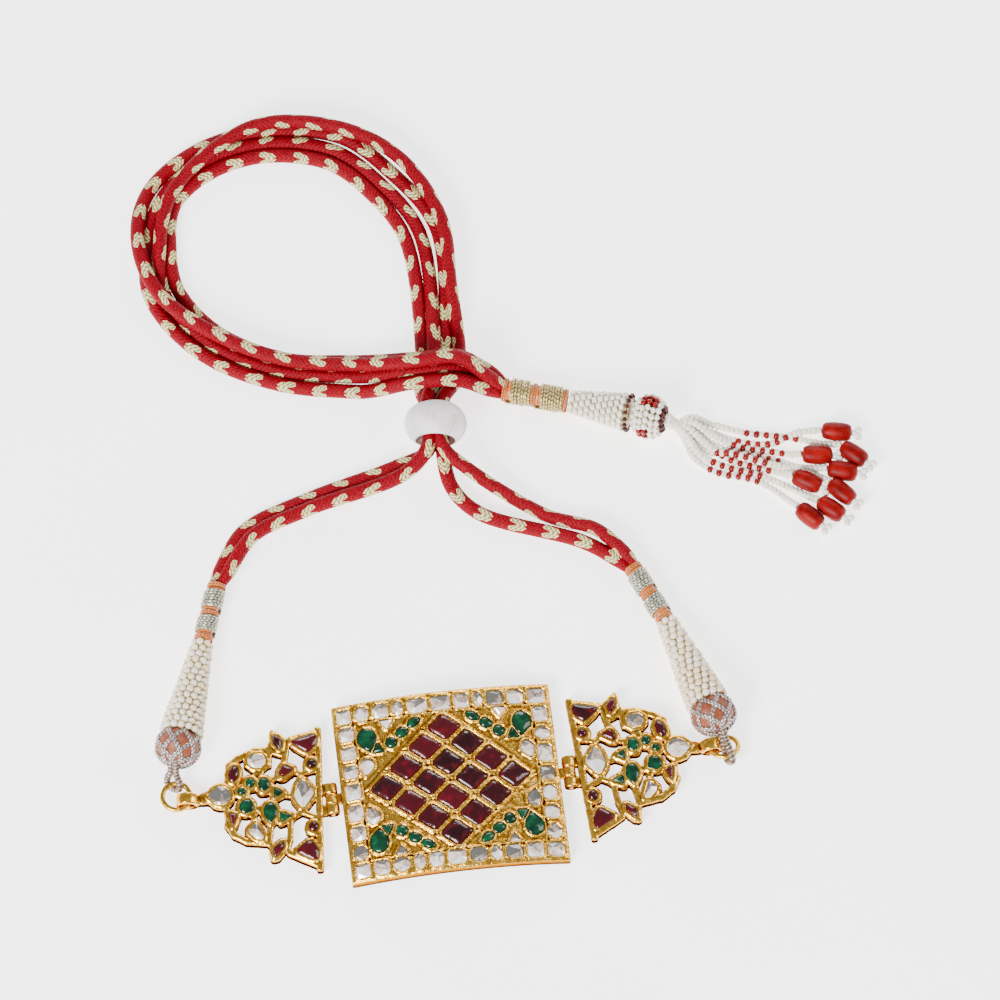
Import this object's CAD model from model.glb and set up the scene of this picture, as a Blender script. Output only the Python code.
"""A jewelled gold armlet on braided silk cords, with pearl sleeves and a beaded tassel"""
import math
import random

import bmesh
import bpy
import numpy as np
from mathutils import Matrix, Vector


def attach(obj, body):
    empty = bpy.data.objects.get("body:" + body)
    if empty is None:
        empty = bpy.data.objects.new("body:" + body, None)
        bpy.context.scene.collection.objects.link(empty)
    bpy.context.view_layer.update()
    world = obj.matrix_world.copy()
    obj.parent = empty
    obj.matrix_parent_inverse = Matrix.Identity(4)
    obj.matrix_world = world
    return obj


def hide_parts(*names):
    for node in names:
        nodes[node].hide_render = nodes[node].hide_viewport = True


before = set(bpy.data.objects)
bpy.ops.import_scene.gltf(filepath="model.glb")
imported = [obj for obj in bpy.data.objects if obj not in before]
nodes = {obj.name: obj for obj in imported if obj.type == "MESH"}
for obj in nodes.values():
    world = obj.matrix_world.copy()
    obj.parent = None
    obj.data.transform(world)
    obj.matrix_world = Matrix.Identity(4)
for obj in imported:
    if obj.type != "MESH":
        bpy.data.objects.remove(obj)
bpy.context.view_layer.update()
# Shapes are made in millimetres, and the frame is in metres
MM = 0.001


# Small tools for shapes

def unit(v):
    """The direction of a vector"""
    v = np.asarray(v, float)
    return v / np.linalg.norm(v)


def distance_along(line):
    """How far along a line each of its points is"""
    return np.concatenate([[0], np.cumsum(np.linalg.norm(np.diff(line, axis=0), axis=1))])


def rounded_route(points, step):
    """Points at an even step along a smooth line through the chosen points (Catmull-Rom)"""
    p = np.asarray(points, float)
    p = np.vstack([2 * p[0] - p[1], p, 2 * p[-1] - p[-2]])
    line = []
    for i in range(1, len(p) - 2):
        count = max(4, int(np.linalg.norm(p[i + 1] - p[i]) / step * 2))
        knots = [0.0]
        for j in range(i - 1, i + 2):
            knots.append(knots[-1] + np.linalg.norm(p[j + 1] - p[j]) ** 0.5)
        for t in np.linspace(knots[1], knots[2], count, endpoint=False):
            a = [((knots[k + 1] - t) * p[i - 1 + k] + (t - knots[k]) * p[i + k])
                 / (knots[k + 1] - knots[k]) for k in range(3)]
            b = [((knots[k + 2] - t) * a[k] + (t - knots[k]) * a[k + 1])
                 / (knots[k + 2] - knots[k]) for k in range(2)]
            line.append(((knots[2] - t) * b[0] + (t - knots[1]) * b[1]) / (knots[2] - knots[1]))
    line.append(p[-2])
    return even_line(np.array(line), step)


def even_line(line, step):
    """The same line with its points at an even step"""
    along = distance_along(line)
    marks = np.linspace(0, along[-1], max(3, int(round(along[-1] / step)) + 1))
    return np.column_stack([np.interp(marks, along, line[:, k]) for k in range(3)])


def running_frames(line):
    """Direction, side and top of a line at each point, turning as little as it can"""
    way = np.gradient(line, axis=0)
    way /= np.linalg.norm(way, axis=1)[:, None]
    side = np.cross(way[0], (0, 0, 1))
    if np.linalg.norm(side) < 1e-6:
        side = np.cross(way[0], (1, 0, 0))
    sides = [unit(side)]
    for i in range(1, len(line)):
        s = sides[-1] - way[i] * np.dot(sides[-1], way[i])
        sides.append(unit(s))
    sides = np.array(sides)
    return way, sides, np.cross(sides, way)


def tube_grid(line, radii, sides, relief=None, turn=0.0):
    """A tube's rings as a grid of points [ring, side], and the UV of each: share of the way
    round, and millimetres along. relief(u, s) in millimetres is added to the radius"""
    way, side, top = running_frames(line)
    radii = np.broadcast_to(np.asarray(radii, float), (len(line),))
    u = np.arange(sides) / sides
    grid_u, grid_s = np.meshgrid(u, distance_along(line))
    r = radii[:, None] + (relief(grid_u, grid_s) if relief else 0)
    angle = 2 * math.pi * (grid_u + turn)
    points = (line[:, None, :] + (r * np.cos(angle))[..., None] * side[:, None, :]
              + (r * np.sin(angle))[..., None] * top[:, None, :])
    return points, grid_u, grid_s


def grid_faces(rings, sides, closed=False):
    """Faces of a tube of rings: its walls, and two end caps unless it closes on itself"""
    i = np.arange(rings if closed else rings - 1)[:, None]
    k = np.arange(sides)[None, :]
    near, far = i * sides, (i + 1) % rings * sides
    after = (k + 1) % sides
    faces = np.stack([near + k, near + after, far + after, far + k], -1).reshape(-1, 4).tolist()
    if not closed:
        faces.append(list(range(sides - 1, -1, -1)))
        faces.append(list(range((rings - 1) * sides, rings * sides)))
    return faces


def ball_points(across, down):
    """Points and faces of a small ball of radius 1 about +Z, and a shade that falls to its poles"""
    points = [(0, 0, -1)]
    for j in range(1, down):
        lat = math.pi * j / down - math.pi / 2
        for i in range(across):
            lon = 2 * math.pi * (i + 0.5 * (j % 2)) / across
            points.append((math.cos(lat) * math.cos(lon), math.cos(lat) * math.sin(lon),
                           math.sin(lat)))
    points.append((0, 0, 1))
    faces = []
    top = len(points) - 1
    for i in range(across):
        n = (i + 1) % across
        faces.append([0, 1 + n, 1 + i])
        faces.append([top, 1 + (down - 2) * across + i, 1 + (down - 2) * across + n])
        for j in range(down - 2):
            a = 1 + j * across
            b = a + across
            if j % 2 == 1:
                faces += [[a + i, a + n, b + n], [a + i, b + n, b + i]]
            else:
                faces += [[a + i, a + n, b + i], [a + n, b + n, b + i]]
    points = np.array(points)
    return points, faces, np.clip((1 - np.abs(points[:, 2])) * 4, 0, 1)


def ring_bead_points(across, round_it, hole, length):
    """Points and faces of a drilled bead of radius 1 about +Z, and a shade that falls to its
    hole"""
    wall = (1 - hole) / 2
    points = []
    for i in range(across):
        lon = 2 * math.pi * i / across
        for j in range(round_it):
            a = 2 * math.pi * j / round_it
            r = hole + wall + wall * math.cos(a)
            points.append((r * math.cos(lon), r * math.sin(lon), length * math.sin(a)))
    points = np.array(points)
    out = (np.hypot(points[:, 0], points[:, 1]) - hole) / (1 - hole)
    return points, grid_faces(across, round_it, closed=True), np.clip(out, 0, 1) ** 0.7


def round_axis(r, angle, z, turn, middle):
    """Points at a radius, angle and height about an axis through a middle"""
    r, angle, z = np.broadcast_arrays(r, angle, z)
    points = np.stack([r * np.cos(angle), r * np.sin(angle), z], -1)
    return points.reshape(-1, 3) @ turn.T + middle


def rows_of(collection, field, width, kind):
    """A field of a mesh's points, edges, corners or faces, with one row of numbers to each"""
    found = np.zeros(len(collection) * width, kind)
    collection.foreach_get(field, found)
    return found.reshape(-1, width)


def axes_along(way):
    """Three columns that turn +Z to a direction"""
    way = unit(way)
    side = np.cross(way, (0, 0, 1))
    side = unit(side) if np.linalg.norm(side) > 1e-6 else np.array([1.0, 0, 0])
    return np.column_stack([side, np.cross(way, side), way])


class Piece:
    """Points, faces, materials and UVs of one piece, gathered in millimetres"""

    def __init__(self, name):
        self.name = name
        self.points = []
        self.faces = []
        self.slots = []
        self.count = 0
        self.uv = []
        self.tones = []

    def add(self, points, faces, slot=0, uv=None, tone=0.0):
        points = np.asarray(points, float).reshape(-1, 3)
        self.points.append(points)
        self.faces += [[n + self.count for n in f] for f in faces] if self.count else list(faces)
        self.slots += [slot] * len(faces)
        if uv is None:
            uv = np.zeros((len(points), 2))
        self.uv.append(np.asarray(uv, float).reshape(-1, 2))
        self.tones.append(np.broadcast_to(np.asarray(tone, float), (len(points),)))
        self.count += len(points)

    def copy(self, shape, place, turn, size, slot, tone):
        """One copy of a shape: its place, turn (3 x 3), size, slot, and tone where it is lit"""
        points, faces, shade = shape
        self.add((points * size) @ np.asarray(turn).T + place, faces, slot, None, tone * shade)

    def tube(self, line, radii, sides, slot=0, relief=None, turn=0.0, lean=1):
        """A tube along a line. With lean -1 its pattern runs round it the other way"""
        grid, u, s = tube_grid(np.asarray(line, float), radii, sides, relief, turn)
        uv = np.stack([u if lean > 0 else 1 - u, s], -1)
        self.add(grid, grid_faces(len(line), sides), slot, uv)

    def build(self, materials, smooth):
        """The Blender object, riding on the body"""
        points = np.vstack(self.points) * MM
        mesh = bpy.data.meshes.new(self.name)
        mesh.from_pydata(points.tolist(), [], self.faces)
        for material in materials:
            mesh.materials.append(material)
        mesh.polygons.foreach_set("material_index", self.slots)
        mesh.polygons.foreach_set("use_smooth", [smooth] * len(mesh.polygons))
        uv = np.vstack(self.uv)[rows_of(mesh.loops, "vertex_index", 1, int)[:, 0]]
        totals = rows_of(mesh.polygons, "loop_total", 1, int)[:, 0]
        face_of = np.repeat(np.arange(len(totals)), totals)
        high = np.zeros(len(totals))
        np.maximum.at(high, face_of, uv[:, 0])
        uv[(high[face_of] - uv[:, 0]) > 0.5, 0] += 1.0
        layer = mesh.uv_layers.new(name="UVMap")
        layer.data.foreach_set("uv", uv.ravel())
        tones = mesh.attributes.new("tone", "FLOAT", "POINT")
        tones.data.foreach_set("value", np.concatenate(self.tones))
        mesh.update()
        made = bpy.data.objects.new(self.name, mesh)
        bpy.context.scene.collection.objects.link(made)
        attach(made, "root")
        return made

    def dress(self, materials, slot, *replaced, smooth=True):
        """The Blender object in place of its CAD nodes, with its finish's slot in the record"""
        made = self.build(materials, smooth)
        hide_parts(*replaced)
        return made


# Materials

def linear(hex_code):
    """Linear colour with full alpha from an sRGB hex code"""
    channels = [int(hex_code[i:i + 2], 16) / 255 for i in (1, 3, 5)]
    return tuple(c / 12.92 if c <= 0.04045 else ((c + 0.055) / 1.055) ** 2.4
                 for c in channels) + (1.0,)


def feed(tree, node, **sockets):
    """Gives a node's sockets their values, or links them to the outputs that feed them. A socket
    is named by its label with _ for a space, or by _ and its number"""
    for name, value in sockets.items():
        socket = node.inputs[int(name[1:]) if name[0] == "_" else name.replace("_", " ")]
        if isinstance(value, bpy.types.NodeSocket):
            tree.links.new(value, socket)
        else:
            socket.default_value = value


def add_node(tree, kind, out=0, stops=(), **values):
    """Adds a node and gives one of its outputs. A value named in lower case is a setting of the
    node, and any other goes to a socket. A ramp's stops are its places and hex colours"""
    made = tree.nodes.new("ShaderNode" + kind)
    for name in [name for name in values if name[0].islower()]:
        setattr(made, name, values.pop(name))
    feed(tree, made, **values)
    if stops:
        band = made.color_ramp.elements
        while len(band) < len(stops):
            band.new(0.5)
        for element, (place, colour) in zip(band, stops):
            element.position = place
            element.color = linear(colour)
    return made.outputs[out]


def new_material(name, **sockets):
    """A material with its Principled shader, the shader's own values, and the place on the object.
    A pattern with so many spots to the millimetre has that number / MM as its scale there"""
    material = bpy.data.materials.new(name)
    material.use_nodes = True
    tree = material.node_tree
    shader = tree.nodes["Principled BSDF"]
    feed(tree, shader, **sockets)
    return material, tree, shader, add_node(tree, "TexCoord", out="Object")


def kundan_gold(name, dented):
    """Pure gold foil pressed and burnished by hand: warm, with soft highlights that its dents
    break up, and brown in its seams"""
    material, tree, shader, at = new_material(name, Metallic=1.0)
    dents = add_node(tree, "TexNoise", Vector=at, Scale=1.0 / MM, Detail=3.0, Roughness=0.55)
    foil = add_node(tree, "ValToRGB", Fac=dents,
                    stops=[(0.3, "#f4a830"), (0.5, "#ffc340"), (0.72, "#ffdf78")])
    tone = add_node(tree, "Attribute", out="Fac", attribute_name="tone")
    seams = add_node(tree, "ValToRGB", Fac=tone,
                     stops=[(0.0, "#ffffff"), (0.4, "#b8a084"), (0.7, "#6a503c"), (1.0, "#2c1c12")])
    colour = add_node(tree, "Mix", out=2, data_type="RGBA", blend_type="MULTIPLY", _0=1.0, _6=foil,
                      _7=seams)
    rough = add_node(tree, "MapRange", Value=dents, To_Min=0.17, To_Max=0.36)
    relief = add_node(tree, "Bump", Height=dents, Strength=dented, Distance=0.5 * MM)
    feed(tree, shader, Base_Color=colour, Specular_Tint=seams, Roughness=rough, Normal=relief)
    return material


def wire_gold():
    """Drawn and filed gold of rings and pins: smoother than the foil, a little brown"""
    material, tree, shader, at = new_material("drawn_gold_wire", Metallic=1.0)
    marks = add_node(tree, "TexNoise", Vector=at, Scale=2.2 / MM, Detail=3.0, Roughness=0.6)
    colour = add_node(tree, "ValToRGB", Fac=marks,
                      stops=[(0.3, "#b48a2c"), (0.52, "#dcb040"), (0.75, "#f5d878")])
    rough = add_node(tree, "MapRange", Value=marks, To_Min=0.22, To_Max=0.45)
    relief = add_node(tree, "Bump", Height=marks, Strength=0.3, Distance=0.1 * MM)
    feed(tree, shader, Base_Color=colour, Roughness=rough, Normal=relief)
    return material


def polished_stone(name, shades, edge, cloud, bumpy, **sockets):
    """A clear stone cut as a low cushion and polished, over coloured foil: deep and cloudy inside,
    with one sharp highlight, and another colour where its tone is high"""
    material, tree, shader, at = new_material(name, **sockets)
    depth = add_node(tree, "TexNoise", Vector=at, Scale=cloud / MM, Detail=2.0, Roughness=0.5)
    inside = add_node(tree, "ValToRGB", Fac=depth, stops=list(zip((0.3, 0.55, 0.8), shades)))
    tone = add_node(tree, "Attribute", out="Fac", attribute_name="tone")
    colour = add_node(tree, "Mix", out=2, data_type="RGBA", _0=tone, _6=inside, _7=linear(edge))
    waves = add_node(tree, "TexNoise", Vector=at, Scale=0.7 / MM, Detail=2.0, Roughness=0.5)
    relief = add_node(tree, "Bump", Height=waves, Strength=bumpy, Distance=0.3 * MM)
    feed(tree, shader, Base_Color=colour, Normal=relief)
    return material


def polki_stone():
    """Uncut diamond, cleaved flat, over silver foil: pinkish white facets beside grey ones"""
    material, tree, shader, at = new_material("foiled_polki_diamond", Metallic=0.3, Roughness=0.2,
                                              Coat_Weight=0.5, Coat_Roughness=0.03)
    cloud = add_node(tree, "TexNoise", Vector=at, Scale=1.3 / MM, Detail=3.0, Roughness=0.6)
    facet = add_node(tree, "Attribute", out="Fac", attribute_name="tone")
    tone = add_node(tree, "Math", operation="MULTIPLY_ADD", _0=cloud, _1=0.85, _2=facet)
    colour = add_node(tree, "ValToRGB", Fac=tone,
                      stops=[(0.4, "#ffffff"), (0.58, "#ffebde"), (0.8, "#b8a092"),
                             (1.0, "#6a6864")])
    feed(tree, shader, Base_Color=colour)
    return material


def meena_enamel():
    """Opaque glass enamel fired on the gold back: grey-green, glossy, a little uneven"""
    material, tree, shader, at = new_material("fired_enamel", Roughness=0.3, IOR=1.5,
                                              Specular_IOR_Level=0.3)
    cloud = add_node(tree, "TexNoise", Vector=at, Scale=0.5 / MM, Detail=3.0, Roughness=0.6)
    colour = add_node(tree, "ValToRGB", Fac=cloud,
                      stops=[(0.3, "#2c4634"), (0.6, "#4c6248"), (0.85, "#747a58")])
    waves = add_node(tree, "TexNoise", Vector=at, Scale=2.0 / MM, Detail=3.0, Roughness=0.5)
    relief = add_node(tree, "Bump", Height=waves, Strength=0.2, Distance=0.1 * MM)
    feed(tree, shader, Base_Color=colour, Normal=relief)
    return material


# Every pale fleck of the cords repeats after this many millimetres
FLECK_PERIOD = 7.9
FLECK_LENGTH = 3.5
FLECK_SLANT = 2.4
# How far a fleck drifts off its even place, in millimetres
FLECK_DRIFT = 2.5
# A fleck is a V of two pointed lobes: the middle and half width of a lobe, as shares of a face's
# half width
LOBE_MIDDLE, LOBE_HALF = 0.3, 0.42


def fleck_places(tree, at):
    """How far off the middle of its face a point of a cord is, where it is along the slanting
    stitches, and where it is in its fleck's period, with an edge that the stitches make jagged"""
    uv = add_node(tree, "UVMap", uv_map="UVMap")
    around = add_node(tree, "SeparateXYZ", out="X", _0=uv)
    along = around.node.outputs["Y"]
    faces = add_node(tree, "Math", operation="MULTIPLY", _0=around, _1=2.0)
    across = add_node(tree, "Math", operation="FRACT", _0=faces)
    signed = add_node(tree, "Math", operation="MULTIPLY_ADD", _0=across, _1=2.0, _2=-1.0)
    off_middle = add_node(tree, "Math", operation="ABSOLUTE", _0=signed)
    face = add_node(tree, "Math", operation="FLOOR", _0=faces)
    loose = add_node(tree, "TexNoise", Vector=at, Scale=0.1 / MM, Detail=1.0, Roughness=0.5)
    drift = add_node(tree, "Math", operation="MULTIPLY_ADD", _0=loose, _1=FLECK_DRIFT, _2=along)
    stepped = add_node(tree, "Math", operation="MULTIPLY_ADD", _0=face, _1=FLECK_PERIOD / 2,
                       _2=drift)
    slant = add_node(tree, "Math", operation="MULTIPLY_ADD", _0=off_middle, _1=-FLECK_SLANT,
                     _2=FLECK_SLANT)
    stitch = add_node(tree, "Math", operation="ADD", _0=stepped, _1=slant)
    teeth = add_node(tree, "Math", operation="MULTIPLY", _0=off_middle, _1=3.4)
    jag = add_node(tree, "Math", operation="PINGPONG", _0=teeth, _1=0.5)
    jagged = add_node(tree, "Math", operation="MULTIPLY_ADD", _0=jag, _1=0.6, _2=stitch)
    place = add_node(tree, "Math", operation="MODULO", _0=jagged, _1=FLECK_PERIOD)
    return off_middle, stitch, place


def braided_silk():
    """Crimson silk braid, soft and dull, with flecks of pale gold thread that glint, and
    herringbone stitches across it"""
    material, tree, shader, at = new_material("braided_silk", Specular_IOR_Level=0.1)
    off_middle, stitch, place = fleck_places(tree, at)
    off_lobe = add_node(tree, "Math", operation="SUBTRACT", _0=off_middle, _1=LOBE_MIDDLE)
    in_lobe = add_node(tree, "Math", operation="DIVIDE", _0=off_lobe, _1=LOBE_HALF)
    squared = add_node(tree, "Math", operation="MULTIPLY", _0=in_lobe, _1=in_lobe)
    taper = add_node(tree, "Math", operation="SUBTRACT", _0=1.0, _1=squared)
    half_length = add_node(tree, "Math", operation="MULTIPLY", _0=taper, _1=FLECK_LENGTH / 2)
    off_fleck = add_node(tree, "Math", operation="SUBTRACT", _0=place, _1=FLECK_PERIOD / 2)
    from_middle = add_node(tree, "Math", operation="ABSOLUTE", _0=off_fleck)
    pale = add_node(tree, "Math", operation="LESS_THAN", _0=from_middle, _1=half_length)
    strand = add_node(tree, "Math", operation="PINGPONG", _0=stitch, _1=0.5)
    fibres = add_node(tree, "TexNoise", Vector=at, Scale=2.5 / MM, Detail=3.0, Roughness=0.6)
    part = add_node(tree, "Math", operation="MULTIPLY", _0=fibres, _1=0.75)
    lit = add_node(tree, "Math", operation="MULTIPLY_ADD", _0=strand, _1=0.35, _2=part)
    silk = add_node(tree, "ValToRGB", Fac=lit,
                    stops=[(0.2, "#340004"), (0.42, "#7a0012"), (0.75, "#b4001e")])
    thread = add_node(tree, "Math", operation="PINGPONG", _0=place, _1=0.5)
    metal = add_node(tree, "ValToRGB", Fac=thread,
                     stops=[(0.0, "#5c5628"), (0.2, "#bcac70"), (0.42, "#f8e8b4")])
    colour = add_node(tree, "Mix", out=2, data_type="RGBA", _0=pale, _6=silk, _7=metal)
    rough = add_node(tree, "MapRange", Value=pale, To_Min=0.55, To_Max=0.32)
    height = add_node(tree, "Math", operation="ADD", _0=strand, _1=fibres)
    relief = add_node(tree, "Bump", Height=height, Strength=0.5, Distance=0.3 * MM)
    feed(tree, shader, Base_Color=colour, Roughness=rough, Normal=relief)
    return material


def wound_thread(name, shades, metallic, per_mm, tilt):
    """Two-ply thread laid side by side, satin or with a metal's glint: its plies show as short
    slanting strokes. UV is the share round the thread and the millimetres along it"""
    material, tree, shader, at = new_material(name, Metallic=metallic, Roughness=0.38)
    uv = add_node(tree, "UVMap", uv_map="UVMap")
    around = add_node(tree, "SeparateXYZ", out="X", _0=uv)
    slant = add_node(tree, "Math", operation="MULTIPLY", _0=around, _1=tilt)
    ply = add_node(tree, "Math", operation="MULTIPLY_ADD", _0=around.node.outputs["Y"], _1=per_mm,
                   _2=slant)
    stroke = add_node(tree, "Math", operation="PINGPONG", _0=ply, _1=0.5)
    worn = add_node(tree, "TexNoise", Vector=at, Scale=1.1 / MM, Detail=3.0, Roughness=0.6)
    height = add_node(tree, "Math", operation="MULTIPLY_ADD", _0=worn, _1=0.5, _2=stroke)
    colour = add_node(tree, "ValToRGB", Fac=height, stops=list(zip((0.2, 0.5, 0.85), shades)))
    relief = add_node(tree, "Bump", Height=stroke, Strength=0.7, Distance=0.12 * MM)
    feed(tree, shader, Base_Color=colour, Normal=relief)
    return material


def seed_pearl():
    """Small natural pearls, drilled and strung: cream, soft shine, each a little different"""
    material, tree, shader, at = new_material("seed_pearl", Roughness=0.24, IOR=1.53,
                                              Subsurface_Weight=0.15, Coat_Weight=0.5,
                                              Coat_Roughness=0.12,
                                              Subsurface_Radius=(0.0006, 0.0005, 0.0004))
    tone = add_node(tree, "Attribute", out="Fac", attribute_name="tone")
    colour = add_node(tree, "ValToRGB", Fac=tone,
                      stops=[(0.0, "#b08a4c"), (0.3, "#f3d8a6"), (0.65, "#ffeccb"),
                             (1.0, "#fffaec")])
    skin = add_node(tree, "TexNoise", Vector=at, Scale=1.0 / MM, Detail=3.0, Roughness=0.5)
    relief = add_node(tree, "Bump", Height=skin, Strength=0.06, Distance=0.1 * MM)
    feed(tree, shader, Base_Color=colour, Normal=relief)
    return material


def glass_bead(name, *shades):
    """Opaque drawn glass cut and tumbled into seed beads: glossy, and darker at the hole where
    the thread shows"""
    material, tree, shader, at = new_material(name, Roughness=0.2, IOR=1.5,
                                              Specular_IOR_Level=0.35)
    tone = add_node(tree, "Attribute", out="Fac", attribute_name="tone")
    colour = add_node(tree, "ValToRGB", Fac=tone, stops=list(zip((0.0, 0.35, 1.0), shades)))
    skin = add_node(tree, "TexNoise", Vector=at, Scale=2.0 / MM, Detail=3.0, Roughness=0.5)
    relief = add_node(tree, "Bump", Height=skin, Strength=0.1, Distance=0.1 * MM)
    feed(tree, shader, Base_Color=colour, Normal=relief)
    return material


def raw_floss():
    """Untwisted silk floss wound over a ring: fibres run round the wall, pale lilac white. The
    fibres are drawn coarser than real floss, so that they show"""
    material, tree, shader, at = new_material("silk_floss", Roughness=0.6, Sheen_Weight=0.6,
                                              Sheen_Roughness=0.35, Subsurface_Weight=0.1,
                                              Subsurface_Radius=(0.001, 0.0008, 0.0008))
    uv = add_node(tree, "UVMap", uv_map="UVMap")
    drawn = add_node(tree, "Mapping", Vector=uv, Scale=(110.0, 0.12, 1.0))
    fibre = add_node(tree, "TexNoise", Vector=drawn, Scale=1.0, Detail=4.0, Roughness=0.6,
                     Distortion=0.6)
    cloud = add_node(tree, "TexNoise", Vector=at, Scale=0.25 / MM, Detail=3.0, Roughness=0.6)
    part = add_node(tree, "Math", operation="MULTIPLY", _0=fibre, _1=0.45)
    shade = add_node(tree, "Math", operation="MULTIPLY_ADD", _0=cloud, _1=0.6, _2=part)
    colour = add_node(tree, "ValToRGB", Fac=shade,
                      stops=[(0.3, "#c4b0b4"), (0.5, "#ece2e2"), (0.75, "#ffffff")])
    relief = add_node(tree, "Bump", Height=fibre, Strength=0.5, Distance=0.25 * MM)
    feed(tree, shader, Base_Color=colour, Normal=relief)
    return material


def cut_coral():
    """Coral cut into barrels and tumbled: bright red, satin, with faint growth lines"""
    material, tree, shader, at = new_material("tumbled_coral", Roughness=0.45, IOR=1.5,
                                              Specular_IOR_Level=0.15)
    cloud = add_node(tree, "TexNoise", Vector=at, Scale=0.35 / MM, Detail=4.0, Roughness=0.6)
    colour = add_node(tree, "ValToRGB", Fac=cloud,
                      stops=[(0.3, "#5c0001"), (0.5, "#7c0002"), (0.75, "#9a0504")])
    growth = add_node(tree, "TexNoise", Vector=at, Scale=1.2 / MM, Detail=4.0, Roughness=0.6)
    relief = add_node(tree, "Bump", Height=growth, Strength=0.25, Distance=0.15 * MM)
    feed(tree, shader, Base_Color=colour, Normal=relief)
    return material


GOLD = kundan_gold("kundan_gold_foil", 0.6)
WING_GOLD = kundan_gold("burnished_kundan_gold", 0.25)
WIRE_GOLD = wire_gold()
RUBY = polished_stone("polished_ruby", ("#0e0002", "#240108", "#5c030f"), "#70081a", 0.55, 0.35,
                      Roughness=0.16, IOR=1.76, Specular_IOR_Level=0.3)
EMERALD = polished_stone("polished_emerald", ("#032618", "#084129", "#13683f"), "#01140c", 0.6, 0.3,
                         Roughness=0.14, IOR=1.58, Specular_IOR_Level=0.35)
POLKI = polki_stone()
ENAMEL = meena_enamel()
SILK = braided_silk()
ORANGE = wound_thread("wound_orange_silk", ("#84360a", "#c46a28", "#ec9c56"), 0.0, 1.4, 2.0)
SILVER = wound_thread("silver_wrapped_thread", ("#4e5146", "#a5a48e", "#f2f1e4"), 0.6, 1.1, 1.0)
PALE_GOLD = wound_thread("gilt_wrapped_thread", ("#5e4e22", "#b8a468", "#f4e6b4"), 0.6, 1.1, 1.0)
LOOP = wound_thread("tarnished_silver_thread", ("#38261c", "#7a6456", "#cdbdb2"), 0.5, 1.1, 1.0)
TERRACOTTA = wound_thread("terracotta_silk", ("#50200e", "#8a3e20", "#b06642"), 0.0, 1.8, 1.0)
BALL_SILVER = wound_thread("bright_silver_thread", ("#4a403a", "#948a86", "#eee8e2"), 0.6, 1.1, 1.0)
PEARL = seed_pearl()
WHITE_BEAD = glass_bead("white_glass_bead", "#b0a070", "#fbf3d8", "#fffef6")
RED_BEAD = glass_bead("red_glass_bead", "#340203", "#720103", "#960506")
DARK_BEAD = glass_bead("dark_red_glass_bead", "#180204", "#330409", "#5c0814")
FLOSS = raw_floss()
CORAL = cut_coral()
STRINGING = wound_thread("stringing_cotton", ("#9c8350", "#cdb888", "#ece0ba"), 0.0, 1.5, 1.0)

for node, finish in {
        "left_hinge_pin": WIRE_GOLD, "right_hinge_pin": WIRE_GOLD,
        "centre_enamel": ENAMEL, "left_wing_enamel": ENAMEL, "right_wing_enamel": ENAMEL,
}.items():
    nodes[node].data.materials.clear()
    nodes[node].data.materials.append(finish)


# Places in millimetres, as the solids have them

KNOT = {"left": (-61.2, 15.6, 5.5), "right": (61.9, 8.8, 5.5)}
SLEEVE_END = {"left": (-52.5, 41.5, 2.95), "right": (54.0, 34.0, 2.95)}
BINDING_END = {"left": (-47.5, 55.6, 2.6), "right": (47.75, 48.45, 2.6)}
LOOP_CROSSING = {"left": (-63.08, 8.09, 2.1), "right": (64.22, -0.93, 3.42)}
END_START, END_FINISH = (23.6, 95.0, 3.35), (38.0, 90.4, 3.2)
END_BALL = (56.3, 83.4, 5.45)
BEAD, BEAD_WAY = (6.9, 86.9, 7.3), (0.12, 0.993, 0.0)

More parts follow.
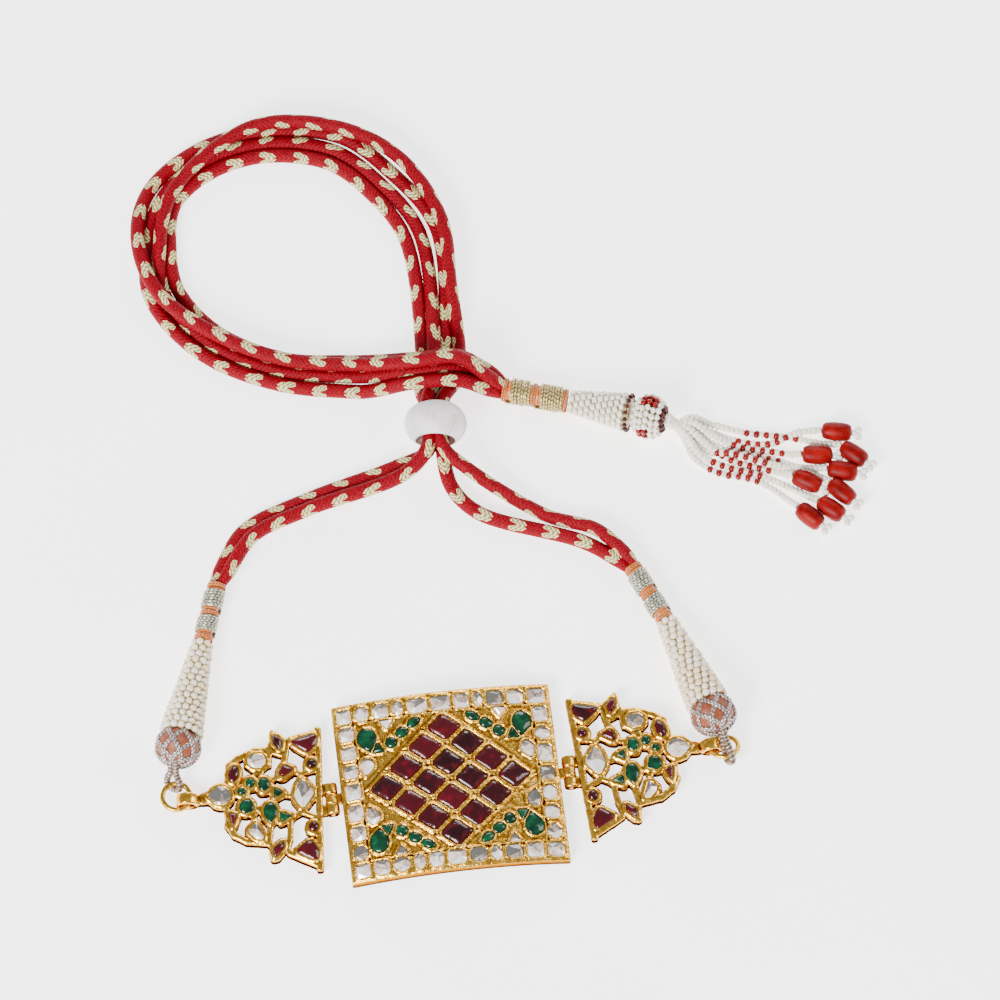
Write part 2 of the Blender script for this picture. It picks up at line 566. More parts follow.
# The four cords, from their binding through the slide bead, round the big loop and to the end
CORD_ROUTES = {
    "left_cord_1": [
        (-48.5, 55.4, 2.3), (-46.6, 58.6, 1.9), (-40, 67.9, 1.7), (-25.4, 73.7, 1.7),
        (-2.8, 79.2, 3), (4.6, 81.6, 4.7), (5.8, 92.4, 4.6), (4.8, 97.4, 1.8), (6.1, 106, 1.7),
        (5.6, 136, 1.7), (-1.5, 148.7, 1.7), (-9.8, 156.6, 1.7), (-24.5, 160.2, 1.7),
        (-37.8, 157.4, 1.7), (-46.6, 150.5, 1.7), (-48.9, 140.4, 1.7), (-48.2, 129.2, 1.7),
        (-40.3, 117.7, 1.7), (-25.5, 109.2, 1.7), (-9, 106.4, 2), (3.6, 103.2, 8.2),
        (14, 102.6, 8.4), (20.2, 99.6, 5.6), (24.6, 96, 3.4)],
    "left_cord_2": [
        (-46.9, 54.8, 2.9), (-44.6, 57.8, 3.3), (-38.1, 65.8, 3.6), (-24.8, 70.8, 3.6),
        (-1.4, 76.2, 5.8), (4.6, 81.6, 7.9), (5.8, 92.4, 8), (7.4, 97.6, 5.2), (8.8, 106.2, 3.6),
        (9.1, 136.8, 1.7), (1.1, 150.6, 1.7), (-8.3, 159.6, 1.7), (-24.5, 163.3, 1.7),
        (-39.1, 160.3, 1.7), (-49.4, 152.3, 1.7), (-54.2, 140.9, 1.7), (-54.6, 127.6, 1.7),
        (-44.8, 113, 1.7), (-27.8, 103.2, 1.7), (-9.4, 99, 1.7), (3.2, 97, 9),
        (13.4, 96.2, 9.4), (20.4, 94.6, 5.2), (23.8, 93.6, 3.4)],
    "right_cord_1": [
        (47.2, 47.6, 2.3), (44.6, 50.6, 1.9), (37.4, 56, 1.7), (14.6, 65.8, 1.7), (9, 72.6, 2.6),
        (7.9, 81.2, 4.7), (9.1, 92, 4.7), (10.1, 97.4, 2), (11.4, 105.8, 1.7), (13.2, 137.5, 1.7),
        (4, 153, 1.7), (-6.5, 162.9, 1.7), (-24.5, 166.4, 1.7), (-40.4, 163.1, 1.7),
        (-52.3, 154.2, 1.9), (-56.2, 141.4, 4.6), (-53, 128, 4.9), (-41.5, 116.5, 4.8),
        (-25.9, 108, 4.9), (-9.2, 104.6, 4.8), (3.6, 101.4, 11.2), (13.9, 100.9, 11.9),
        (20, 97.2, 7.8), (24.2, 94.8, 4.6)],
    "right_cord_2": [
        (48.8, 48.2, 2.9), (46.9, 51.2, 3.2), (40.8, 58.2, 3), (29.8, 63.5, 1.7), (12.8, 76, 5.4),
        (7.9, 81.2, 7.9), (9.1, 92, 8), (12.7, 97.6, 5.2), (14.7, 105.8, 1.9),
        (14.6, 122, 4.6), (14.4, 138.3, 4.9), (6.7, 154.9, 4.2), (-6, 163.8, 4.9),
        (-24.4, 167, 4.9), (-38.4, 160.6, 4.9), (-47.6, 151.4, 4.9), (-51.1, 140.8, 4.3),
        (-51.4, 128.4, 1.7),
        (-42.6, 115.3, 1.7), (-26.6, 106.2, 1.7), (-9.2, 102.6, 2), (3.4, 99.9, 8.2),
        (13.8, 99.4, 8.2), (20, 97.1, 3.6), (24.2, 94.8, 2.1)],
}
CORD_D = 3.2
CORD_STEP = 0.42
# Room under a cord for its stitches
CORD_LIFT = 0.1
# Where a cord is bound it is this much of its full width, and it fills out over this length
BOUND_WIDTH, FILL_LENGTH = 0.58, 4.0
# Share of a turn that each cord's braid is rolled by
CORD_TURN = {"left_cord_1": 0.1, "left_cord_2": 0.35, "right_cord_1": 0.55, "right_cord_2": 0.8}


def stitches(u, s):
    """Relief of the braid's slanting stitches"""
    off_middle = np.abs(np.mod(u * 2, 1) * 2 - 1)
    at = s + np.floor(u * 2) * FLECK_PERIOD / 2 - off_middle * 4.2
    return 0.12 * np.abs(np.sin(math.pi * at)) + 0.06 * np.cos(4 * math.pi * u)


def silk_cord(name):
    """A braided cord in place of its solid, and its middle line"""
    line = rounded_route(CORD_ROUTES[name], CORD_STEP)
    line[:, 2] = np.maximum(line[:, 2], CORD_D / 2 + CORD_LIFT)
    from_end = np.minimum(np.arange(len(line)), np.arange(len(line))[::-1]) * CORD_STEP
    filled = np.clip(from_end / FILL_LENGTH, 0, 1) ** 0.7
    radii = CORD_D / 2 * (BOUND_WIDTH + (1 - BOUND_WIDTH) * filled)
    piece = Piece(name + "_braid")
    piece.tube(line, radii - 0.05, 28, 0, stitches, turn=CORD_TURN[name])
    return piece.dress([SILK], "silk_cord", name), line


cords = {name: silk_cord(name) for name in CORD_ROUTES}


# Stones, cut again from the outlines of their solids

def loose_parts(node):
    """The separate solids of a CAD node, each as its points in millimetres"""
    mesh = nodes[node].data
    co = rows_of(mesh.vertices, "co", 3, np.float32).astype(float) / MM
    key = np.unique(np.round(co, 3), axis=0, return_inverse=True)[1].ravel()
    joined = list(range(key.max() + 1))

    def find(n):
        while joined[n] != n:
            joined[n] = joined[joined[n]]
            n = joined[n]
        return n

    for polygon in mesh.polygons:
        corners = [find(key[v]) for v in polygon.vertices]
        for corner in corners[1:]:
            joined[find(corner)] = find(corners[0])
    groups = {}
    for i, k in enumerate(key):
        groups.setdefault(find(k), {})[k] = co[i]
    return [np.array(list(g.values())) for _, g in sorted(groups.items())]


ARCH_AXIS_Z = -93.34


def stone_outline(points, arched):
    """Middle of a stone's girdle, its own axes, and the outline of its girdle in them"""
    middle = points.mean(0)
    up = unit((middle[0], 0, middle[2] - ARCH_AXIS_Z)) if arched else np.array([0, 0, 1.0])
    axes = np.column_stack([unit(np.cross((0, 1.0, 0), up)), (0, 1.0, 0), up])
    own = (points - middle) @ axes
    levels = np.unique(np.round(own[:, 2] * 20) / 20)
    girdle = own[np.abs(own[:, 2] - levels[1]) < 0.04]
    centre = girdle.mean(0)
    angle = np.arctan2(girdle[:, 1] - centre[1], girdle[:, 0] - centre[0])
    girdle = girdle[np.argsort(angle)]
    return middle + axes @ centre, axes, girdle[:, :2] - centre[:2]


def cut_corners(outline, rounds):
    """The outline with its corners rounded, each time by a quarter of its edges"""
    for _ in range(rounds):
        after = np.roll(outline, -1, axis=0)
        outline = np.stack([0.75 * outline + 0.25 * after, 0.25 * outline + 0.75 * after],
                           1).reshape(-1, 2)
    return outline


def grown(outline, growth, pinch=0.0):
    """A stone's outline made larger. A pinch draws its corners out and its sides in"""
    reach = np.hypot(*outline.T)
    return outline * growth * (reach / reach.mean())[:, None] ** pinch


# How much larger the stones are than their solids
STONE_GROWTH, EMERALD_GROWTH, WING_STONE_GROWTH, PANEL_RUBY_GROWTH = 1.04, 1.1, 1.16, 1.0
RUBY_PINCH = 0.3
# The wings' rims are fuller than their solids, so their stones sit higher by this
WING_LIFT = 0.24
# Height of each kind of stone above its girdle
RUBY_CROWN, EMERALD_CROWN, POLKI_CROWN, WING_POLKI_CROWN = 0.85, 0.7, 0.42, 0.6
# A polished stone's shape from its girdle to its top: share of the outline, share of the crown
CUSHION = [(0.9, -0.9), (1.0, -0.3), (1.0, 0.0), (0.97, 0.24), (0.88, 0.47), (0.75, 0.66),
           (0.58, 0.82), (0.38, 0.93), (0.17, 0.99)]
# How far a polished stone's rim turns to its edge colour
RUBY_RIM, EMERALD_RIM = 0.3, 0.9
# The most that a polished stone's top leans, and lies off its middle, and its own tone
CUSHION_LEAN, CUSHION_OFF, CUSHION_TONE = 0.09, 0.1, 0.35


def polished_stones(node, finish, slot, crown, seed, rim_tone, growth, pinch=0.0):
    """Smooth cushion stones: domed, with a soft shoulder and small differences"""
    arched = "wing" not in node
    draw = random.Random(seed)
    piece = Piece(node + "_cut")
    for points in loose_parts(node):
        centre, axes, outline = stone_outline(points, arched)
        outline = grown(cut_corners(outline, 2), growth, pinch)
        n = len(outline)
        lean = np.array([draw.uniform(-CUSHION_LEAN, CUSHION_LEAN) for _ in range(2)])
        off = np.array([draw.uniform(-CUSHION_OFF, CUSHION_OFF) for _ in range(2)])
        base = draw.random() * CUSHION_TONE
        rings = []
        tones = []
        for share, high in CUSHION:
            ring = outline * share + off * (1 - share)
            z = crown * high + (ring @ lean) * max(high, 0)
            rings.append(np.column_stack([ring, z]))
            tones += [base + rim_tone * (1 - max(high, 0)) ** 2] * n
        own = np.vstack(rings + [(*off, crown)])
        last = (len(CUSHION) - 1) * n
        faces = grid_faces(len(CUSHION), n)[:-1]
        faces += [[last + k, last + (k + 1) % n, len(own) - 1] for k in range(n)]
        centre = centre + axes[:, 2] * (0 if arched else WING_LIFT)
        piece.add(own @ axes.T + centre, faces, 0, None, np.clip(tones + [base], 0, 1))
    piece.dress([finish], slot, node)


def flat_faced_hull(outline, upper):
    """The mesh of an uncut diamond over its girdle and its upper corners"""
    n = len(outline)
    low = np.column_stack([outline * 0.9, np.full(n, -0.45)])
    rim = np.column_stack([outline, np.full(n, 0.02)])
    mesh = bmesh.new()
    for p in np.vstack([low, rim, upper]):
        mesh.verts.new(p)
    bmesh.ops.convex_hull(mesh, input=mesh.verts)
    loose = [v for v in mesh.verts if not v.link_faces]
    bmesh.ops.delete(mesh, geom=loose, context="VERTS")
    bmesh.ops.dissolve_limit(mesh, angle_limit=0.06, verts=mesh.verts, edges=mesh.edges)
    mesh.verts.index_update()
    return mesh


def cleaved_stone(draw, outline, crown):
    """One uncut diamond as a mesh, with a few flat faces cleaved at odd angles round an off-centre
    top, and the tone of each face"""
    n = len(outline)
    table = draw.uniform(0.35, 0.6)
    off = np.array([draw.uniform(-0.35, 0.35), draw.uniform(-0.4, 0.3)])
    lean = np.array([draw.uniform(-0.14, 0.14), draw.uniform(-0.12, 0.16)])
    shade = draw.choice([0.0, 0.0, 0.0, 0.05, 0.12, 0.45])
    corners = sorted(draw.uniform(0, 1) for _ in range(draw.choice((5, 6, 6, 7))))
    upper = np.array([outline[int(share * n) % n] * table * draw.uniform(0.8, 1.15) + off
                      for share in corners])
    angle = np.arctan2(*(upper - upper.mean(0)).T[::-1])
    upper = upper[np.argsort(angle)]
    high = crown + upper @ lean + [draw.uniform(-0.13, 0.1) for _ in upper]
    mesh = flat_faced_hull(outline, np.column_stack([upper, high]))
    tones = []
    for face in mesh.faces:
        back = face.normal.y
        tone = shade + 1.7 * max(0.0, back) - 0.5 * max(0.0, -back)
        tones.append(min(1.0, max(0.0, tone + draw.uniform(0, 0.3))))
    return mesh, tones


def polki_stones(node, seed, crown=POLKI_CROWN, growth=STONE_GROWTH):
    """Uncut diamonds, each with its own cleaved faces and each face with its own tone"""
    arched = "wing" not in node
    draw = random.Random(seed)
    piece = Piece(node + "_cleaved")
    facets = []
    for points in loose_parts(node):
        centre, axes, outline = stone_outline(points, arched)
        mesh, tones = cleaved_stone(draw, cut_corners(outline, 1) * growth, crown)
        facets += tones
        own = np.array([v.co[:] for v in mesh.verts])
        centre = centre + axes[:, 2] * (0 if arched else WING_LIFT)
        piece.add(own @ axes.T + centre, [[v.index for v in f.verts] for f in mesh.faces])
        mesh.free()
    made = piece.dress([POLKI], "diamond", node, smooth=False)
    made.data.attributes.remove(made.data.attributes["tone"])
    made.data.attributes.new("tone", "FLOAT", "FACE").data.foreach_set("value", facets)


polished_stones("centre_rubies", RUBY, "ruby", RUBY_CROWN, 31, RUBY_RIM,
                PANEL_RUBY_GROWTH, RUBY_PINCH)
polished_stones("centre_emeralds", EMERALD, "emerald", EMERALD_CROWN, 32, EMERALD_RIM,
                EMERALD_GROWTH)
polki_stones("border_diamonds", seed=33)
polki_stones("corner_diamonds", seed=34)
for side, seed in (("left", 40), ("right", 50)):
    polished_stones(side + "_wing_rubies", RUBY, "ruby", RUBY_CROWN, seed, RUBY_RIM,
                    WING_STONE_GROWTH)
    polished_stones(side + "_wing_emeralds", EMERALD, "emerald", EMERALD_CROWN, seed + 1,
                    EMERALD_RIM, WING_STONE_GROWTH)
    polki_stones(side + "_wing_diamonds", seed + 2, WING_POLKI_CROWN, WING_STONE_GROWTH)


# The gold

PANEL_W, PANEL_H = 50.5, 43.3
ARCH_R = 100.0
GOLD_INNER_R = 97.35
GRID_STEP = 0.18
BORDER_W = 4.45
FIELD_X, FIELD_Y = PANEL_W / 2 - BORDER_W, PANEL_H / 2 - BORDER_W
DIAMOND_FRAME = 0.65
HINGE_X, KNUCKLE_R, KNUCKLE_L, KNUCKLE_Z = 27.5, 1.15, 2.4, 1.65
HINGE_SWELL = 1.28
BAIL_FROM = 57.5
# The foil's ground over the arch: in the border, in the field, and the least between the rubies
BORDER_GROUND, FIELD_GROUND, LATTICE_GROUND = -0.12, -0.34, -0.16
# Ridges and grooves of the foil: height, place and width. A stone's are placed from its edge, the
# border's from the edge of the field, and the frame's from the middle of the frame
STONE_LIP, STONE_SEAM = (0.15, 0.2, 0.17), (-0.16, 0.0, 0.07)
MEETING_SEAM = (-0.1, 0.0, 0.12)
BORDER_GROOVE, FIELD_EDGE = (-0.42, -0.05, 0.15), (0.1, -0.42, 0.2)
FRAME_RIDGE, FRAME_GROOVE = (0.2, 0.0, 0.24), (-0.12, 0.5, 0.16)
# How deep the foil goes under the stones, and how much and how far in the panel's edge is worn
UNDER_STONES, EDGE_WORN, EDGE_REACH = -0.85, 0.22, 0.45
# A hinge's barrel is the gold within this of its axis, and this far along it either way
BARREL_REACH, BARREL_HALF = 1.3, 4.1
# The most that barrels and bails swell, and the height of the marks of wear
BARREL_SWELL, WEAR_MARKS = 0.12, 0.022
# Depths of the rings of points down the panel's side walls, and their tones
WALL_DEPTHS, WALL_TONES = (0.7, 1.3, 1.9), (0.3, 0.4, 0.5, 0.65)


def spots(shape, cells, seed):
    """Smooth seeded bumps over a grid, about one to each cell, between -1 and 1"""
    draw = np.random.default_rng(seed)
    small = draw.uniform(-1, 1, tuple(max(4, int(length / cells) + 3) for length in shape))
    y = np.linspace(0, small.shape[0] - 1.001, shape[0])
    x = np.linspace(0, small.shape[1] - 1.001, shape[1])
    iy, ix = y.astype(int), x.astype(int)
    fy, fx = (y - iy)[:, None], (x - ix)[None, :]
    fy, fx = fy * fy * (3 - 2 * fy), fx * fx * (3 - 2 * fx)
    next_y = np.minimum(iy + 1, small.shape[0] - 1)
    next_x = np.minimum(ix + 1, small.shape[1] - 1)
    first = small[np.ix_(iy, ix)] * (1 - fx) + small[np.ix_(iy, next_x)] * fx
    second = small[np.ix_(next_y, ix)] * (1 - fx) + small[np.ix_(next_y, next_x)] * fx
    return first * (1 - fy) + second * fy


def blurred(grid, reach):
    """The grid averaged over a square of 2 * reach + 1 cells"""
    padded = np.pad(grid, reach, mode="edge")
    total = np.zeros_like(grid)
    for dy in range(2 * reach + 1):
        for dx in range(2 * reach + 1):
            total += padded[dy:dy + grid.shape[0], dx:dx + grid.shape[1]]
    return total / (2 * reach + 1) ** 2


def stone_distance(x, y, outlines, far):
    """Distance from each place of a grid to its nearest and second nearest outline: negative
    inside one, and never more than far"""
    first = np.full(x.shape, float(far))
    second = np.full(x.shape, float(far))
    for outline in outlines:
        low, high = outline.min(0) - far, outline.max(0) + far
        rows = np.where((y[:, 0] > low[1]) & (y[:, 0] < high[1]))[0]
        columns = np.where((x[0] > low[0]) & (x[0] < high[0]))[0]
        box = np.ix_(rows, columns)
        px, py = x[box], y[box]
        d = np.full(px.shape, 1e9)
        inside = np.zeros(px.shape, bool)
        for a, b in zip(outline, np.roll(outline, -1, axis=0)):
            edge = b - a
            t = np.clip(((px - a[0]) * edge[0] + (py - a[1]) * edge[1]) / (edge @ edge), 0, 1)
            d = np.minimum(d, np.hypot(px - a[0] - t * edge[0], py - a[1] - t * edge[1]))
            crosses = (a[1] > py) != (b[1] > py)
            slope = edge[0] / edge[1] if abs(edge[1]) > 1e-9 else 0.0
            inside ^= crosses & (px < a[0] + (py - a[1]) * slope)
        d = np.where(inside, -d, d)
        nearer = d < first[box]
        second[box] = np.where(nearer, first[box], np.minimum(second[box], d))
        first[box] = np.where(nearer, d, first[box])
    return first, second


def flat_outlines(node, growth=1.0, pinch=0.0):
    """The girdles of a node's stones as the arch lies flat: x along the arch, and y"""
    outlines = []
    for points in loose_parts(node):
        centre, axes, outline = stone_outline(points, True)
        outline = grown(outline, growth, pinch)
        world = np.column_stack([outline, np.zeros(len(outline))]) @ axes.T + centre
        angle = np.arctan2(world[:, 0], world[:, 2] - ARCH_AXIS_Z)
        outlines.append(np.column_stack([ARCH_R * np.sin(angle), world[:, 1]]))
    return outlines


def ridge(distance, height, at, wide):
    """A smooth ridge along one value of a distance, or a groove where its height is negative"""
    return height * np.exp(-((distance - at) / wide) ** 2)


def pressed_foil(x, y, near, second):
    """Height of the foil over the arch: its ground, a lip round each stone, seams where two lips
    meet, hand-pressed lumps, and a groove between the field and the border"""
    in_border = np.maximum(np.abs(x) - FIELD_X, np.abs(y) - FIELD_Y)
    lumps = spots(x.shape, cells=7, seed=71)
    fine = spots(x.shape, cells=3.2, seed=72)
    fall = np.clip((near - 0.3) / 0.5, 0, 1)
    fall = fall * fall * (3 - 2 * fall)
    high = np.where(in_border > 0, BORDER_GROUND, FIELD_GROUND) * fall
    high += ridge(near, *STONE_LIP) + ridge(near, *STONE_SEAM)
    meeting = np.where(in_border > -0.2, second - near, 9.0)
    high += ridge(meeting, *MEETING_SEAM) * (near < 0.9)
    high += (0.045 * lumps + 0.02 * fine) * np.clip(near / 0.4, 0, 1)
    return high + ridge(in_border + 0.08 * lumps, *BORDER_GROOVE) + ridge(in_border, *FIELD_EDGE)


def outside_frame(x, y, rubies, step_x, step_y):
    """Distance outside the middle of the raised frame round the ruby diamond"""
    corners = np.vstack(rubies)
    outside = np.full(x.shape, -99.0)
    for way in ((1, 1), (1, -1), (-1, 1), (-1, -1)):
        across = unit((step_y, step_x)) * way
        reach = (corners @ across).max() + DIAMOND_FRAME
        outside = np.maximum(outside, x * across[0] + y * across[1] - reach)
    return outside


def cuts_in_foil(x, y, middles, step_x, step_y, nicked):
    """Depth of the slits where the corners of rubies meet, and of a nick under many stones"""
    draw = random.Random(77)
    meetings = {}
    for c in middles:
        for dx, dy in ((step_x, 0), (-step_x, 0), (0, step_y), (0, -step_y)):
            at = (float(c[0] + dx), float(c[1] + dy))
            meetings[(round(at[0], 0), round(at[1], 0))] = at
    depth = np.zeros(x.shape)
    for px, py in sorted(meetings.values()):
        px += draw.uniform(-0.15, 0.15)
        py += draw.uniform(-0.12, 0.12)
        wide, tall = draw.uniform(0.4, 0.6), draw.uniform(0.16, 0.26)
        depth += draw.uniform(0.4, 0.7) * np.exp(-((x - px) / wide) ** 2 - ((y - py) / tall) ** 2)
    for outline in nicked:
        low = outline[:, 1].min()
        middle = outline[:, 0].mean()
        half = np.ptp(outline[:, 0]) * 0.3
        nick = np.exp(-((x - middle) / half) ** 4 - ((y - low + 0.1) / 0.12) ** 2)
        depth += draw.uniform(0.0, 0.28) * nick
    return depth


def on_arch(radius, turn, y):
    """Points at a radius and an angle of the panel's arch"""
    return np.stack([radius * np.sin(turn), y, ARCH_AXIS_Z + radius * np.cos(turn)], -1)


def panel_skin(top, dark):
    """Points, faces and tones of the panel's gold: its foil, side walls that wander a little and
    darken on their way down, and a plain underside"""
    rows, columns = dark.shape
    number = np.arange(rows * columns).reshape(rows, columns)
    a = number[:-1, :-1].ravel()
    faces = np.column_stack([a, a + 1, a + columns + 1, a + columns]).tolist()
    before = np.concatenate([number[0], number[1:, -1], number[-1, -2::-1], number[-2:0:-1, 0]])
    points = top.reshape(-1, 3)
    ring = points[before]
    n = len(ring)
    turn = np.arctan2(ring[:, 0], ring[:, 2] - ARCH_AXIS_Z)
    levels = [ARCH_R - depth + 0.03 * np.sin(np.arange(n) * 0.21 + depth * 3)
              for depth in WALL_DEPTHS]
    walls = [on_arch(level, turn, ring[:, 1]) for level in levels + [GOLD_INNER_R]]
    for level in range(len(walls)):
        after = rows * columns + level * n + np.arange(n)
        faces += np.column_stack([np.roll(before, -1), before, after,
                                  np.roll(after, -1)]).tolist()
        before = after
    bottom = before.tolist()
    lower = bottom[:columns]
    upper = bottom[columns + rows - 2:2 * columns + rows - 2][::-1]
    right = bottom[columns - 1:columns + rows - 1]
    left = [bottom[-j % n] for j in range(rows)]
    for k in range(1, columns - 2):
        faces.append([lower[k], upper[k], upper[k + 1], lower[k + 1]])
    faces.append([lower[1], lower[0]] + left[1:] + [upper[1]])
    faces.append([lower[-2], upper[-2]] + right[::-1])
    tones = np.concatenate([dark.ravel(), np.repeat(WALL_TONES, n)])
    return np.vstack([points] + walls), faces, tones


def panel_knuckle(piece, way):
    """The panel's own knuckle of a hinge, a little worn at its ends, and the strap that holds it"""
    hinge = np.array([way * HINGE_X, 0, KNUCKLE_Z])
    barrel = [hinge + (0, t, 0) for t in np.linspace(-KNUCKLE_L / 2, KNUCKLE_L / 2, 9)]
    worn = np.array([0.93, 1, 1, 0.99, 1, 0.99, 1, 1, 0.93])
    piece.tube(barrel, worn * KNUCKLE_R * HINGE_SWELL, 32)
    strap = np.linspace((way * (PANEL_W / 2 - 0.5), 0, KNUCKLE_Z), hinge, 5)
    grid = tube_grid(strap, 1.0, 24)[0]
    grid[..., 1] = np.clip(grid[..., 1] * 1.6, -KNUCKLE_L / 2, KNUCKLE_L / 2)
    grid[..., 2] = KNUCKLE_Z + np.clip((grid[..., 2] - KNUCKLE_Z) * 1.4, -0.6, 0.6)
    piece.add(grid, grid_faces(len(strap), 24), 0, None, 0.2)


def centre_gold():
    """The arched panel: foil pushed up round every stone and round the ruby diamond"""
    rubies = flat_outlines("centre_rubies", PANEL_RUBY_GROWTH, RUBY_PINCH)
    others = flat_outlines("centre_emeralds", 1.06) + flat_outlines("corner_diamonds", 1.06)
    border = flat_outlines("border_diamonds")
    columns, rows = int(PANEL_W / GRID_STEP) + 1, int(PANEL_H / GRID_STEP) + 1
    x, y = np.meshgrid(np.linspace(-PANEL_W / 2, PANEL_W / 2, columns),
                       np.linspace(-PANEL_H / 2, PANEL_H / 2, rows))
    near, second = stone_distance(x, y, rubies + others + border, 2.5)
    high = pressed_foil(x, y, near, second)
    middles = np.array([outline.mean(0) for outline in rubies])
    step_x, step_y = [np.abs(np.diff(np.unique(np.round(middles[:, k], 1)))).min()
                      for k in (0, 1)]
    outside = outside_frame(x, y, rubies, step_x, step_y)
    high = np.where(outside < 0, np.maximum(high, LATTICE_GROUND), high)
    high += ridge(outside, *FRAME_RIDGE) + ridge(outside, *FRAME_GROOVE)
    high -= cuts_in_foil(x, y, middles, step_x, step_y, border + rubies)
    high = np.where(near < 0, np.maximum(UNDER_STONES, high + near * 6), high)
    edge = np.minimum(PANEL_W / 2 - np.abs(x), PANEL_H / 2 - np.abs(y))
    high -= EDGE_WORN * np.clip(1 - edge / EDGE_REACH, 0, 1) ** 2
    high = blurred(high, 1) * 0.5 + high * 0.5
    dark = np.maximum(np.clip((blurred(high, 3) - high) / 0.2, 0, 1),
                      np.clip((-high - 0.45) / 0.3, 0, 1))
    points, faces, tones = panel_skin(on_arch(ARCH_R + high, np.arcsin(x / ARCH_R), y), dark)
    piece = Piece("centre_gold")
    piece.add(points, faces, 0, None, tones)
    for way in (-1, 1):
        panel_knuckle(piece, way)
    piece.dress([GOLD], "gold", "centre_panel")


def even_skin(node, voxel):
    """A copy of a CAD node with an even skin and its edges worn round"""
    made = bpy.data.objects.new(node + "_gold", nodes[node].data.copy())
    bpy.context.scene.collection.objects.link(made)
    remesh = made.modifiers.new("even", "REMESH")
    remesh.mode = "VOXEL"
    remesh.voxel_size = voxel * MM
    smooth = made.modifiers.new("worn", "SMOOTH")
    smooth.factor = 0.5
    smooth.iterations = 4
    seen = made.evaluated_get(bpy.context.evaluated_depsgraph_get())
    mesh = bpy.data.meshes.new_from_object(seen)
    made.modifiers.clear()
    made.data = mesh
    return made


def hollows(co, normals, ends):
    """How far each point lies below the mean of its neighbours, in millimetres"""
    degree = np.bincount(ends.ravel(), minlength=len(co))[:, None]
    soft = co
    for _ in range(6):
        total = np.zeros_like(soft)
        np.add.at(total, ends[:, 0], soft[ends[:, 1]])
        np.add.at(total, ends[:, 1], soft[ends[:, 0]])
        soft = total / degree
    return ((soft - co) * normals).sum(1) / MM


def worn_gold(node, voxel, swell, finish):
    """Gold with its edges worn round and a little fuller, and brown in corners and piercings"""
    made = even_skin(node, voxel)
    mesh = made.data
    co = rows_of(mesh.vertices, "co", 3, np.float32).astype(float)
    normals = rows_of(mesh.vertices, "normal", 3, np.float32)
    hollow = hollows(co, normals, rows_of(mesh.edges, "vertices", 2, int))
    x, y, z = (co / MM).T
    marks = (np.sin(2.1 * x + 1.3 * np.sin(1.7 * y)) + np.sin(2.6 * y + 1.1 * np.sin(1.9 * x + z))
             + 0.6 * np.sin(5.3 * x + 2.2 * y + z))
    lowest = co[:, 2].min()
    hinge = np.array([math.copysign(HINGE_X, x.mean()), 0, KNUCKLE_Z]) * MM
    off = (co - hinge) * (1, 0, 1)
    barrel = np.hypot(off[:, 0], off[:, 2]) < BARREL_REACH * MM
    barrel &= np.abs(co[:, 1]) < BARREL_HALF * MM
    swell = np.where(barrel | (np.abs(x) > BAIL_FROM), min(swell, BARREL_SWELL), swell)
    co = co + normals * ((swell + WEAR_MARKS * marks) * MM)[:, None]
    co += np.where(barrel[:, None], off * (HINGE_SWELL - 1), 0)
    co[:, 2] = np.maximum(co[:, 2], lowest)
    mesh.vertices.foreach_set("co", co.ravel())
    wall = np.clip(1.4 - 1.6 * np.abs(normals[:, 2]), 0, 1)
    rim = np.percentile(z[normals[:, 2] > 0.9], 50)
    tone = np.clip(hollow / 0.09, 0, 0.6) + wall * np.clip((rim - 0.05 - z) / 0.6, 0, 0.78)
    kept = mesh.attributes.new("tone", "FLOAT", "POINT")
    kept.data.foreach_set("value", np.clip(tone, 0, 1))
    mesh.polygons.foreach_set("use_smooth", [True] * len(mesh.polygons))
    mesh.materials.clear()
    mesh.materials.append(finish)
    mesh.update()
    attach(made, "root")
    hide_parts(node)


centre_gold()
for side in ("left", "right"):
    worn_gold(side + "_wing", voxel=0.23, swell=0.27, finish=WING_GOLD)
    worn_gold(side + "_ring", voxel=0.14, swell=0.13, finish=WIRE_GOLD)


# Strung and wound pieces

# Length of the straight steps that a wound thread turns in
WINDING_STEP = 0.3


def wind(piece, start, end, shares, radius, thread):
    """A pair of threads wound side by side round the line from start to end, out to a radius,
    over the given shares of it. Their plies lean against each other, so they show zigzags"""
    start, end = np.asarray(start, float), np.asarray(end, float)
    length = np.linalg.norm(end - start)
    turn = axes_along(end - start)
    first = shares[0] * length + thread / 2
    last = shares[1] * length - thread * 1.5
    turns = max(1, round((last - first) / (2 * thread)))
    middle = radius - thread / 2
    t = np.linspace(0, 1, int(turns * 2 * math.pi * middle / WINDING_STEP))
    angle = 2 * math.pi * turns * t
    for lean in (1, -1):
        if lean < 0:
            first, last = first + thread, last + thread

        def plies(u, s):
            return 0.08 * thread * np.sin(2 * math.pi * (2 * u * lean + s / (1.6 * thread)))

        helix = round_axis(middle, angle, first + (last - first) * t, turn, start)
        piece.tube(helix, thread / 2 * 0.97, 7, 0, plies, lean=lean)


def core(piece, start, end, shares, radii, slot=0):
    """The plain round core under a winding or sleeve, over the given shares of its line"""
    start, end = np.asarray(start, float), np.asarray(end, float)
    line = start + np.linspace(*shares, 8)[:, None] * (end - start)
    piece.tube(line, np.linspace(*radii, 8), 28, slot)


ORANGE_D, SILVER_D, END_GOLD_D = 0.5, 0.62, 0.66
BINDING_R, SILVER_R = 2.25, 2.55
LOWER_SILVER, UPPER_SILVER = (0.1, 0.43), (0.5, 0.87)
END_R, END_GOLD_R = 2.85, 3.15
FIRST_GOLD, SECOND_GOLD = (0.06, 0.45), (0.52, 0.95)
